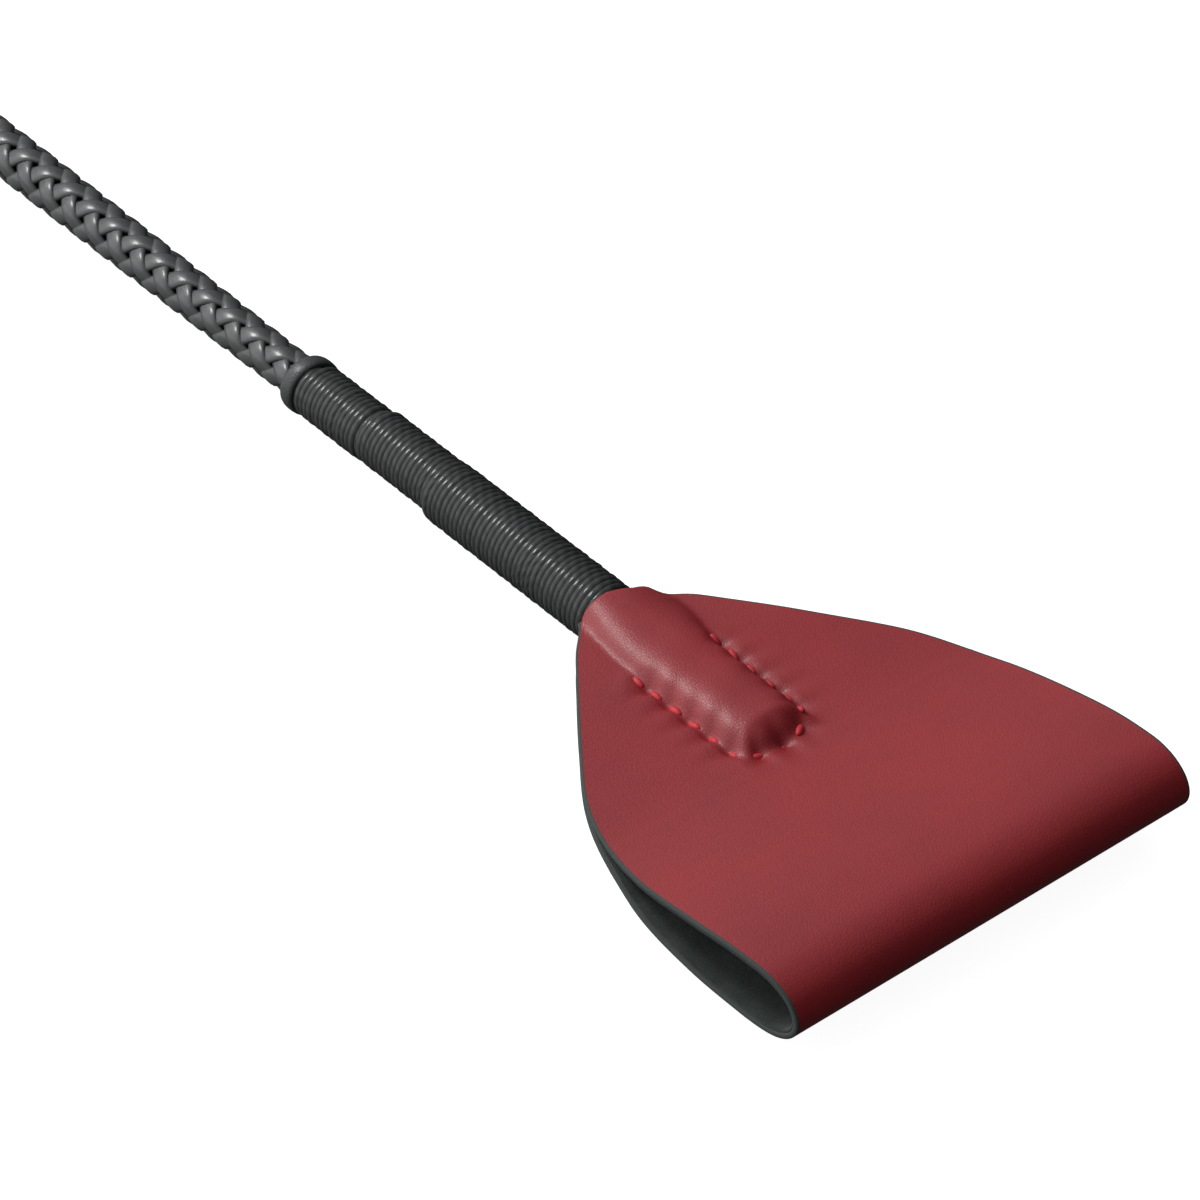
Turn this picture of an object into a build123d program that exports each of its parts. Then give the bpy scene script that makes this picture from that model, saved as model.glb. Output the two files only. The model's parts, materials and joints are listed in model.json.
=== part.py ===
"""Riding crop: a plaited leather shaft on a fibreglass rod, with a folded leather keeper and a wrist loop.

Sizes are in millimetres. The shaft lies along X with the keeper at +X and the keeper's leaves face up and
down. Z = 0 is the surface that the crop lies on, and X = 0 is the middle of the whole length, wrist loop
included. The shaft's own axis is level and AXIS_HEIGHT above that surface.
"""

import math

from build123d import *

import os

os.makedirs("parts", exist_ok=True)

# Overall
CROP_LENGTH = 660.0  # butt cap's end face to the keeper's fold
CAP_RADIUS = 12.5

# Keeper: one strip of leather with a lining, folded double and bound to the shaft by its two tails
KEEPER_LENGTH = 108.5  # neck to fold
KEEPER_HALF_WIDTH = 47.8
NECK_HALF_WIDTH = 7.5
LEATHER = 1.2
LINING = 0.8
LINING_SETBACK = 4.0  # the lining is skived away this far from the neck
FOLD_RADIUS = 7.7  # outside radius of the rounded fold
FOLD_RISE = 1.2  # the fold's centre stands this far above the shaft's axis
LEAF_GAP = 0.3  # daylight between the two leaves where the flap begins
UPPER_TAIL = 0.5  # thickness of each tail once skived
LOWER_TAIL = 1.1
UPPER_TAIL_LENGTH = 72.0
LOWER_TAIL_LENGTH = 50.0
TAIL_EDGE = 0.8  # each tail stops this far short of the shaft's side
TAIL_SLACK = 0.05  # the winding over each tail stands off by this much more

# Pocket: the shaft's end is stitched in between the leaves
POCKET_DEPTH = 47.0  # neck to the shaft's blunt end
POCKET_SPREAD = 4.1  # shaft's side to where the leaves meet beside it
SEAM_CLEARANCE = 0.23  # leather of the bulge to the nearest stitch
SEAM_SPLAY = 1.0  # each row of stitches stands this much wider at its start
SEAM_START = 19.0  # neck to the first stitch
END_ROW_GAP = 1.8  # leather over the shaft's blunt end to the row that closes the pocket
STITCH_LENGTH = 3.8
STITCH_PITCH = 5.4
THREAD = 1.1
FLEX_SETBACK = 2.1  # closing row to the line where the flap bends
FLEX_GAP = 1.2  # running clearance across that line

# Shaft: tapered rod and plaited cover
BRAID_WALL = 1.6
BRAID_RADIUS_GRIP = 5.9
BRAID_RADIUS_RING = 4.6
BRAID_RADIUS_BOUND = 4.3  # pulled in by the binding and inside the pocket
TIP_CAP_LENGTH = 8.0
TIP_CAP_WALL = 2.0

# Tip binding: waxed cord wound over the cover and over the keeper's tails
CORD = 1.4
TIP_BINDING_LENGTH = 93.4
RING_WIDTH = 6.0
RING_ROUND = 1.4
TIP_RING_RADIUS = 6.35

# Handle
GRIP_LENGTH = 176.0  # butt cap's end face to the front of the grip's front binding
HANDLE_CORE_RADIUS = 8.5
CORE_NOSE_RADIUS = 6.5
GRIP_LEATHER = 1.6
REAR_BINDING_LENGTH = 20.0
FRONT_BINDING_OVERLAP = 10.0  # the part of the front binding that lies on the grip's leather
FRONT_BINDING_CONE = 16.0  # the part that leads down to the shaft
GRIP_RING_RADIUS = 8.2
COVER_IN_HANDLE = 14.0
ROD_FROM_BUTT = 28.0

# Butt cap
CAP_LENGTH = 14.0
CAP_WALL = 5.0
CAP_ROUND = 3.0

# Wrist loop: a flat strap folded double, its two ends pinned inside the handle
STRAP = 1.8
STRAP_WIDTH = 10.0
LOOP_LENGTH = 150.0  # hinge line to the far end
LOOP_RADIUS = 27.0
LOOP_NECK = 14.0  # the two legs lie together for this far
LOOP_CREASE = 0.4  # inside radius where the legs part
STUB = 0.25  # the pinned ends stand out of the cap by this much
HINGE_GAP = 0.35
STRAP_IN_HANDLE = 24.0
PIN_RADIUS = 1.25
PIN_FROM_BUTT = 18.0

# Stations along X
hinge_standoff = STUB + HINGE_GAP + STRAP
x_fold = (CROP_LENGTH + hinge_standoff + LOOP_LENGTH) / 2
x_neck = x_fold - KEEPER_LENGTH
x_butt = x_fold - CROP_LENGTH
x_hinge = x_butt - hinge_standoff
x_loop_centre = x_hinge - LOOP_LENGTH + LOOP_RADIUS
x_tip = x_neck + POCKET_DEPTH
x_end_row = x_tip + LEATHER + LINING + END_ROW_GAP
x_flex = x_end_row + THREAD + FLEX_SETBACK
x_lining = x_neck + LINING_SETBACK
x_binding = x_neck - TIP_BINDING_LENGTH
x_ring = x_binding - RING_WIDTH
x_upper_tail = x_neck - UPPER_TAIL_LENGTH
x_lower_tail = x_neck - LOWER_TAIL_LENGTH
x_core_rear = x_butt + CAP_WALL
x_cap_front = x_butt + CAP_LENGTH
x_strap_end = x_butt + STRAP_IN_HANDLE
x_rod_rear = x_butt + ROD_FROM_BUTT
x_grip_front = x_butt + GRIP_LENGTH
x_shoulder = x_grip_front - FRONT_BINDING_CONE
x_cover_start = x_grip_front - COVER_IN_HANDLE

# Radii that follow from the ones above
leaf = LEATHER + LINING
half_gap = LEAF_GAP / 2
pocket_half_width = BRAID_RADIUS_BOUND + POCKET_SPREAD
grip_radius = HANDLE_CORE_RADIUS + GRIP_LEATHER
rod_radius_grip = BRAID_RADIUS_GRIP - BRAID_WALL
rod_radius_ring = BRAID_RADIUS_RING - BRAID_WALL
rod_radius_tip = BRAID_RADIUS_BOUND - BRAID_WALL
AXIS_HEIGHT = CAP_RADIUS

shaft_axis = Axis((0, 0, AXIS_HEIGHT), (1, 0, 0))
level = Plane.XY.offset(AXIS_HEIGHT)
side = Plane(origin=(0, 0, AXIS_HEIGHT), x_dir=(1, 0, 0), z_dir=(0, -1, 0))


def across(x):
    """The plane square to the shaft at station x: its x axis is the row's Y and its y axis is up."""
    return Plane(origin=(x, 0, AXIS_HEIGHT), x_dir=(0, 1, 0), z_dir=(1, 0, 0))


def turned(*points):
    """A solid of revolution about the shaft's axis from (x, radius) corners."""
    with BuildPart() as solid:
        with BuildSketch(side):
            with BuildLine():
                Polyline(*points, close=True)
            make_face()
        revolve(axis=shaft_axis)
    return solid.part


# ---------------------------------------------------------------- shaft
core_rod = turned(
    (x_rod_rear, 0),
    (x_rod_rear, rod_radius_grip),
    (x_grip_front, rod_radius_grip),
    (x_ring, rod_radius_ring),
    (x_binding, rod_radius_tip),
    (x_tip - TIP_CAP_WALL, rod_radius_tip),
    (x_tip - TIP_CAP_WALL, 0),
)

# The cover's bore is the rod's own outline, so the wall stays even along the taper
braided_cover = turned(
    (x_cover_start, rod_radius_grip),
    (x_cover_start, BRAID_RADIUS_GRIP),
    (x_grip_front, BRAID_RADIUS_GRIP),
    (x_ring, BRAID_RADIUS_RING),
    (x_ring, BRAID_RADIUS_BOUND),
    (x_tip - TIP_CAP_LENGTH, BRAID_RADIUS_BOUND),
    (x_tip - TIP_CAP_LENGTH, rod_radius_tip),
    (x_binding, rod_radius_tip),
    (x_ring, rod_radius_ring),
    (x_grip_front, rod_radius_grip),
)

# Rubber cap that keeps the rod's end from wearing through the pocket
with BuildPart() as tip_cap:
    with BuildSketch(across(x_tip - TIP_CAP_LENGTH)):
        Circle(BRAID_RADIUS_BOUND)
    extrude(amount=TIP_CAP_LENGTH)
    fillet(tip_cap.edges().sort_by(Axis.X)[-1], radius=1.0)
    with BuildSketch(across(x_tip - TIP_CAP_LENGTH)):
        Circle(rod_radius_tip)
    extrude(amount=TIP_CAP_LENGTH - TIP_CAP_WALL, mode=Mode.SUBTRACT)


def rolled_ring(x_start, inner, outer):
    """A rolled ring of leather round the shaft."""
    with BuildPart() as ring:
        with BuildSketch(across(x_start)):
            Circle(outer)
        extrude(amount=RING_WIDTH)
        fillet(ring.edges().filter_by(GeomType.CIRCLE), radius=RING_ROUND)
        with BuildSketch(across(x_start)):
            Circle(inner)
        extrude(amount=RING_WIDTH, mode=Mode.SUBTRACT)
    return ring.part


tip_ring = rolled_ring(x_ring, BRAID_RADIUS_BOUND, TIP_RING_RADIUS)
grip_ring = rolled_ring(x_grip_front, BRAID_RADIUS_GRIP, GRIP_RING_RADIUS)


# ---------------------------------------------------------------- tip binding and tails
def bound_round(x_start, x_end, above, below, extra):
    """What a winding encloses over tails `above` and `below` thick, grown by `extra` all round."""
    slack = TAIL_SLACK * ((above > 0) + (below > 0))
    with BuildPart() as solid:
        with BuildSketch(across(x_start)):
            with Locations((0, (above - below) / 2)):
                Circle(BRAID_RADIUS_BOUND + (above + below) / 2 + extra + slack)
        extrude(amount=x_end - x_start)
    return solid.part


with BuildPart() as tip_binding:
    add(bound_round(x_binding, x_upper_tail, 0, 0, CORD))
    add(bound_round(x_upper_tail, x_lower_tail, UPPER_TAIL, 0, CORD))
    add(bound_round(x_lower_tail, x_neck, UPPER_TAIL, LOWER_TAIL, CORD))
    add(bound_round(x_binding, x_upper_tail, 0, 0, 0), mode=Mode.SUBTRACT)
    add(bound_round(x_upper_tail, x_lower_tail, UPPER_TAIL, 0, 0), mode=Mode.SUBTRACT)
    add(bound_round(x_lower_tail, x_neck, UPPER_TAIL, LOWER_TAIL, 0), mode=Mode.SUBTRACT)


def only_side(solid, upward, margin):
    """The part of a solid that lies more than `margin` above (or below) the shaft's axis."""
    with BuildPart() as half:
        add(solid)
        with Locations((0, 0, AXIS_HEIGHT - upward * (100 - margin))):
            Box(2000, 400, 200, mode=Mode.SUBTRACT)
    return half.part


# ---------------------------------------------------------------- keeper
def fan(x_start, x_end, bottom, top):
    """A slab with the keeper's outline, between two stations and two heights from the shaft's axis."""
    with BuildPart() as slab:
        with BuildSketch(level.offset(bottom)):
            with BuildLine():
                shoulder = Spline(
                    (x_neck, NECK_HALF_WIDTH),
                    (x_neck + 0.24 * KEEPER_LENGTH, 0.595 * KEEPER_HALF_WIDTH),
                    (x_neck + 0.39 * KEEPER_LENGTH, 0.83 * KEEPER_HALF_WIDTH),
                    (x_neck + 0.56 * KEEPER_LENGTH, 0.96 * KEEPER_HALF_WIDTH),
                    (x_neck + 0.74 * KEEPER_LENGTH, KEEPER_HALF_WIDTH),
                    tangents=[(1, 1), (1, 0)],
                )
                Polyline(
                    shoulder @ 1,
                    (x_fold + 1, KEEPER_HALF_WIDTH),
                    (x_fold + 1, 0),
                    (x_neck, 0),
                    shoulder @ 0,
                )
            make_face()
            mirror(about=Plane.XZ)
        extrude(amount=top - bottom)
        with BuildSketch(across(x_end)):
            Rectangle(400, 400)
        extrude(amount=400, mode=Mode.SUBTRACT)
        with BuildSketch(across(x_start)):
            Rectangle(400, 400)
        extrude(amount=-400, mode=Mode.SUBTRACT)
    return slab.part


def tent(x_start, x_end, wall):
    """The space under leather stretched over the shaft's end, grown by `wall`."""
    radius = BRAID_RADIUS_BOUND + wall
    foot = pocket_half_width + wall
    with BuildPart() as solid:
        with BuildSketch(across(x_start)):
            Circle(radius)
            Rectangle(2 * foot, 0.1)
            make_hull()
        extrude(amount=x_end - x_start)
    return solid.part


x_root_end = x_flex - FLEX_GAP / 2

with BuildPart() as lining_shape:
    add(fan(x_lining, x_root_end, -LINING, LINING))
    add(tent(x_lining, x_tip + LINING, LINING))

with BuildPart() as keeper_root:
    add(fan(x_neck, x_root_end, -leaf, leaf))
    add(tent(x_neck, x_tip + leaf, leaf))
    add(lining_shape.part, mode=Mode.SUBTRACT)
    with BuildSketch(across(x_neck)):
        Circle(BRAID_RADIUS_BOUND)
    extrude(amount=LINING_SETBACK, mode=Mode.SUBTRACT)

with BuildPart() as lining_root:
    add(lining_shape.part)
    add(tent(x_lining, x_tip, 0), mode=Mode.SUBTRACT)

with BuildPart() as upper_tail:
    add(bound_round(x_upper_tail, x_lower_tail, UPPER_TAIL, 0, 0))
    add(bound_round(x_lower_tail, x_neck, UPPER_TAIL, LOWER_TAIL, 0))
    add(bound_round(x_upper_tail, x_neck, 0, 0, 0), mode=Mode.SUBTRACT)

with BuildPart() as lower_tail:
    add(bound_round(x_lower_tail, x_neck, UPPER_TAIL, LOWER_TAIL, 0))
    add(bound_round(x_lower_tail, x_neck, 0, 0, 0), mode=Mode.SUBTRACT)

with BuildPart() as keeper_upper:
    add(only_side(keeper_root.part, 1, 0))
    add(only_side(upper_tail.part, 1, TAIL_EDGE))

with BuildPart() as keeper_lower:
    add(only_side(keeper_root.part, -1, 0))
    add(only_side(lower_tail.part, -1, TAIL_EDGE))

lining_upper = only_side(lining_root.part, 1, 0)
lining_lower = only_side(lining_root.part, -1, 0)


def flap(outer_inset, inner_inset):
    """One layer of the flap: a teardrop seen from the side, cut to the keeper's outline."""
    x_bend = x_fold - FOLD_RADIUS
    x_mid = (x_flex + x_bend) / 2
    x_back = x_flex - 12
    top = leaf + half_gap
    crest = FOLD_RISE + FOLD_RADIUS
    trough = FOLD_RISE - FOLD_RADIUS
    with BuildSketch(side) as profile:
        with BuildLine():
            rise = TangentArc((x_flex, top), (x_mid, (top + crest) / 2), tangent=(1, 0))
            TangentArc(rise @ 1, (x_bend, crest), tangent=rise % 1)
            dip = TangentArc((x_flex, -top), (x_mid, (trough - top) / 2), tangent=(1, 0))
            TangentArc(dip @ 1, (x_bend, trough), tangent=dip % 1)
            ThreePointArc((x_bend, crest), (x_fold, FOLD_RISE), (x_bend, trough))
            Polyline((x_flex, top), (x_back, top), (x_back, -top), (x_flex, -top))
        make_face()
    with BuildSketch(side) as outer:
        add(profile.sketch_local)
        if outer_inset > 0:
            offset(amount=-outer_inset, mode=Mode.REPLACE)
    with BuildSketch(side) as inner:
        add(profile.sketch_local)
        offset(amount=-inner_inset, mode=Mode.REPLACE)
    with BuildPart() as layer:
        add(fan(x_flex + FLEX_GAP / 2, x_fold + 1, -40, 40))
        extrude(outer.sketch, amount=KEEPER_HALF_WIDTH + 5, both=True, mode=Mode.INTERSECT)
        extrude(inner.sketch, amount=KEEPER_HALF_WIDTH + 5, both=True, mode=Mode.SUBTRACT)
    return layer.part


keeper_flap = flap(0, LEATHER)
lining_flap = flap(LEATHER, leaf)


# Stitches: short rounded threads lying on the leather, two converging rows and one across the end
def stitches(upward):
    """Every stitch on one face of the keeper."""
    rows = int((x_end_row - x_neck - SEAM_START) / STITCH_PITCH)
    columns = int(2 * pocket_half_width / STITCH_PITCH)
    foot = pocket_half_width + leaf
    flank = math.asin((BRAID_RADIUS_BOUND + leaf) / foot)  # slope of the leather beside the shaft
    y_flank = foot - leaf / math.tan(flank)  # where that slope runs out onto the flat leaf
    spots = []
    for row in range(rows):
        x = x_neck + SEAM_START + row * STITCH_PITCH
        y = y_flank + THREAD / 2 + SEAM_CLEARANCE + SEAM_SPLAY * (1 - row / rows)
        spots.append((x, y, 0))
        spots.append((x, -y, 0))
    for column in range(columns):
        spots.append((x_end_row + THREAD / 2, (column - (columns - 1) / 2) * STITCH_PITCH, 90))
    with BuildPart() as threads:
        for x, y, turn in spots:
            with BuildSketch(level.offset(upward * leaf)):
                with Locations(Location((x, y, 0), (0, 0, turn))):
                    SlotOverall(STITCH_LENGTH, THREAD)
            extrude(amount=upward * THREAD / 2)
    return threads.part


upper_stitches = stitches(1)
lower_stitches = stitches(-1)

# ---------------------------------------------------------------- handle
with BuildPart() as handle_core:
    add(
        turned(
            (x_core_rear, 0),
            (x_core_rear, HANDLE_CORE_RADIUS),
            (x_shoulder, HANDLE_CORE_RADIUS),
            (x_grip_front, CORE_NOSE_RADIUS),
            (x_grip_front, BRAID_RADIUS_GRIP),
            (x_cover_start, BRAID_RADIUS_GRIP),
            (x_cover_start, rod_radius_grip),
            (x_rod_rear, rod_radius_grip),
            (x_rod_rear, 0),
        )
    )
    with BuildSketch(across(x_core_rear)):
        Rectangle(2 * STRAP, STRAP_WIDTH)
    extrude(amount=x_strap_end - x_core_rear, mode=Mode.SUBTRACT)
    with Locations(Location((x_butt + PIN_FROM_BUTT, 0, AXIS_HEIGHT), (90, 0, 0))):
        Cylinder(PIN_RADIUS, 4 * HANDLE_CORE_RADIUS, mode=Mode.SUBTRACT)

with BuildPart() as loop_pin:
    with Locations(Location((x_butt + PIN_FROM_BUTT, 0, AXIS_HEIGHT), (90, 0, 0))):
        Cylinder(PIN_RADIUS, 2 * HANDLE_CORE_RADIUS - 0.6)

with BuildPart() as loop_ends:
    with BuildSketch(across(x_butt - STUB)):
        Rectangle(2 * STRAP, STRAP_WIDTH)
    extrude(amount=STUB + STRAP_IN_HANDLE)
    add(loop_pin.part, mode=Mode.SUBTRACT)

grip_leather = turned(
    (x_core_rear, HANDLE_CORE_RADIUS),
    (x_core_rear, grip_radius),
    (x_shoulder, grip_radius),
    (x_shoulder, HANDLE_CORE_RADIUS),
)

rear_binding = turned(
    (x_cap_front, grip_radius),
    (x_cap_front, grip_radius + CORD),
    (x_cap_front + REAR_BINDING_LENGTH, grip_radius + CORD),
    (x_cap_front + REAR_BINDING_LENGTH, grip_radius),
)

front_binding = turned(
    (x_shoulder - FRONT_BINDING_OVERLAP, grip_radius),
    (x_shoulder - FRONT_BINDING_OVERLAP, grip_radius + CORD),
    (x_shoulder, grip_radius + CORD),
    (x_grip_front, CORE_NOSE_RADIUS + CORD),
    (x_grip_front, CORE_NOSE_RADIUS),
    (x_shoulder, HANDLE_CORE_RADIUS),
    (x_shoulder, grip_radius),
)

with BuildPart() as butt_cap:
    with BuildSketch(across(x_butt)):
        Circle(CAP_RADIUS)
    extrude(amount=CAP_LENGTH)
    fillet(butt_cap.edges().filter_by(GeomType.CIRCLE).sort_by(Axis.X)[0], radius=CAP_ROUND)
    with BuildSketch(across(x_core_rear)):
        Circle(grip_radius)
    extrude(amount=CAP_LENGTH - CAP_WALL, mode=Mode.SUBTRACT)
    with BuildSketch(across(x_butt)):
        Rectangle(2 * STRAP, STRAP_WIDTH)
    extrude(amount=CAP_WALL, mode=Mode.SUBTRACT)

# ---------------------------------------------------------------- wrist loop
with BuildPart() as wrist_loop:
    with BuildSketch(level.offset(-STRAP_WIDTH / 2)):
        with BuildSketch(mode=Mode.PRIVATE) as legs:
            with Locations((x_hinge, 0)):
                Circle(STRAP)
            with Locations((x_hinge - LOOP_NECK, 0)):
                Circle(STRAP)
            make_hull()
        with BuildSketch(mode=Mode.PRIVATE) as outside:
            with Locations((x_hinge - LOOP_NECK, 0)):
                Circle(STRAP + LOOP_CREASE)
            with Locations((x_loop_centre, 0)):
                Circle(LOOP_RADIUS)
            make_hull()
        with BuildSketch(mode=Mode.PRIVATE) as inside:
            with Locations((x_hinge - LOOP_NECK, 0)):
                Circle(LOOP_CREASE)
            with Locations((x_loop_centre, 0)):
                Circle(LOOP_RADIUS - STRAP)
            make_hull()
        add(legs.sketch)
        add(outside.sketch)
        add(inside.sketch, mode=Mode.SUBTRACT)
    extrude(amount=STRAP_WIDTH)

pieces = {
    "core_rod": core_rod,
    "braided_cover": braided_cover,
    "tip_cap": tip_cap.part,
    "tip_ring": tip_ring,
    "tip_binding": tip_binding.part,
    "keeper_upper": keeper_upper.part,
    "keeper_lower": keeper_lower.part,
    "lining_upper": lining_upper,
    "lining_lower": lining_lower,
    "keeper_flap": keeper_flap,
    "lining_flap": lining_flap,
    "upper_stitches": upper_stitches,
    "lower_stitches": lower_stitches,
    "handle_core": handle_core.part,
    "grip_leather": grip_leather,
    "rear_binding": rear_binding,
    "front_binding": front_binding,
    "grip_ring": grip_ring,
    "butt_cap": butt_cap.part,
    "loop_ends": loop_ends.part,
    "loop_pin": loop_pin.part,
    "wrist_loop": wrist_loop.part,
}

for name, piece in pieces.items():
    piece.label = name
    export_step(piece, f"parts/{name}.step")
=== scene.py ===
# %% [markdown]
# # A riding crop, dressed over its CAD frame
# The frame is the measured model: a rod, a handle, a keeper and a wrist loop, each a plain solid in metres.
# This lesson replaces the soft solids with plaited, wound, folded and stitched pieces and gives every piece
# a procedural material. Loading comes first, because every place below is read from the frame.

# %% Load the frame
import json
import math

import bmesh
import bpy
import numpy as np
from mathutils import Matrix, Vector


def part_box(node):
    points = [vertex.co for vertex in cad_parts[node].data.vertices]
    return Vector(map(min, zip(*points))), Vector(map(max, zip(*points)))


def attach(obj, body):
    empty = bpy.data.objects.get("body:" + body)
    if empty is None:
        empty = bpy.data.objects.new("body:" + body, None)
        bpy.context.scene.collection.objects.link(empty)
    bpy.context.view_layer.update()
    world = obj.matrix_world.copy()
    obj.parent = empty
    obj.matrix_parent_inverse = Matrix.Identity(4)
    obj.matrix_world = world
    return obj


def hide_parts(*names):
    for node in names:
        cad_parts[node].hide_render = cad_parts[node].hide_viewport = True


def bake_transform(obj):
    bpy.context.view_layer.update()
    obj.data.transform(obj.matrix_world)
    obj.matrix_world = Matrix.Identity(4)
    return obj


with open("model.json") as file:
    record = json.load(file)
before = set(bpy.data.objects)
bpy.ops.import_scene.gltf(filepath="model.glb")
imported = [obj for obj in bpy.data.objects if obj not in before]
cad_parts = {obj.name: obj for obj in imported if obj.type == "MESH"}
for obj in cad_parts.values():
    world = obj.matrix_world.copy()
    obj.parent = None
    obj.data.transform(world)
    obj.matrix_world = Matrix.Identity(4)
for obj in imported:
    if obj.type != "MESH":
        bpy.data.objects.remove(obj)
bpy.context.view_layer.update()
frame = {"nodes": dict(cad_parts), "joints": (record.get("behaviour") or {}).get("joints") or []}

# %% [markdown]
# Lengths along the shaft are told in millimetres from the keeper's neck, where the winding ends, and heights
# from the shaft's axis. One function turns such a point into the frame's metres, so that the rest of the
# script can speak a maker's language.

# %% Stations on the shaft
MM = 0.001
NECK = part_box("tip_binding")[1].x
AXIS = (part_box("butt_cap")[0].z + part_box("butt_cap")[1].z) / 2


def place(points):
    """Millimetres from the neck and the axis to the frame's metres."""
    points = np.asarray(points, float)
    return points * MM + np.array([NECK, 0.0, AXIS])


def station(name, end):
    """Where a CAD node starts (end 0) or stops (end 1) along the shaft, in millimetres from the neck."""
    return (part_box(name)[end].x - NECK) / MM


WINDING_START = station("tip_binding", 0)
RING_START = station("tip_ring", 0)
GRIP_FRONT = station("front_binding", 1)
SHOULDER = station("grip_leather", 1)
FRONT_WINDING_START = station("front_binding", 0)
REAR_WINDING_START = station("rear_binding", 0)
REAR_WINDING_END = station("rear_binding", 1)
BUTT = station("butt_cap", 0)
LOOP_END = station("wrist_loop", 0)
HINGE = (frame["joints"][1]["pos_m"][0] - NECK) / MM
print(f"neck at {NECK:.4f} m, axis {AXIS:.4f} m up")

# %% [markdown]
# ## The camera
# A long lens far away keeps the shaft's sides nearly parallel. The camera's place is written as a distance
# and two angles, and its aim is a little off the neck so that the keeper fills the lower right and the shaft
# runs out at the upper left.

# %% Camera
VIEW_TURN = math.radians(-50.53)
VIEW_RISE = math.radians(39.27)
VIEW_DISTANCE = 886.43
AIM_RIGHT = -1.65
AIM_UP = 2.93
LENS = 138.93

right = Vector((math.cos(VIEW_TURN), -math.sin(VIEW_TURN), 0))
forward = Vector((math.sin(VIEW_TURN) * math.cos(VIEW_RISE), math.cos(VIEW_TURN) * math.cos(VIEW_RISE),
                  -math.sin(VIEW_RISE)))
up = right.cross(forward)
spot = right * AIM_RIGHT + up * AIM_UP - forward * VIEW_DISTANCE
camera_data = bpy.data.cameras.new("camera")
camera_data.sensor_width = 36
camera_data.lens = LENS
camera_data.clip_start = 0.01
camera_data.clip_end = 20
camera = bpy.data.objects.new("camera", camera_data)
bpy.context.scene.collection.objects.link(camera)
axes = Matrix((right, up, -forward)).transposed().to_4x4()
camera.matrix_world = Matrix.Translation(Vector(place(spot))) @ axes
bpy.context.scene.camera = camera
print("camera at", [round(c, 3) for c in camera.matrix_world.translation])

# %% [markdown]
# ## Tools: materials
# Colours are written as sRGB hex values and turned to linear light once, here. One small function adds a
# node with its settings and its links, and every material below is built with it.

# %% Colour and node helpers


def linear(code):
    """An sRGB hex colour as linear light."""
    channels = [int(code[i : i + 2], 16) / 255 for i in (1, 3, 5)]
    return [c / 12.92 if c <= 0.04045 else ((c + 0.055) / 1.055) ** 2.4 for c in channels] + [1.0]


def node(tree, kind, values=None, **settings):
    """Adds a node. values maps an input's name or number to a number, a colour or another node's output."""
    made = tree.nodes.new(kind)
    for name, value in settings.items():
        setattr(made, name, value)
    for key, value in (values or {}).items():
        socket = made.inputs[key]
        if isinstance(value, bpy.types.NodeSocket):
            tree.links.new(value, socket)
        else:
            socket.default_value = value
    return made


def new_material(name, **shader):
    """A material with one Principled shader; shader's sockets are given by name, underscores for spaces."""
    material = bpy.data.materials.new(name)
    material.use_nodes = True
    tree = material.node_tree
    principled = tree.nodes["Principled BSDF"]
    for key, value in shader.items():
        principled.inputs[key.replace("_", " ")].default_value = value
    return material, tree, principled


def per_mm(size):
    """The texture scale at which one cell or wave is size millimetres wide on Object coordinates."""
    return 1 / (size * MM)


# %% [markdown]
# Leather is one recipe with different numbers. Its colour drifts softly over centimetres, because hide
# takes dye unevenly; its pebble grain is a cell pattern of about a millimetre; fine pores break up the gloss.
# A painted attribute called `cut` marks the sawn edges, where the hide's core shows darker and rougher; on
# the plait that darker edge colour is painted shade in the gaps between the laces.

# %% The leather recipe


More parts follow.
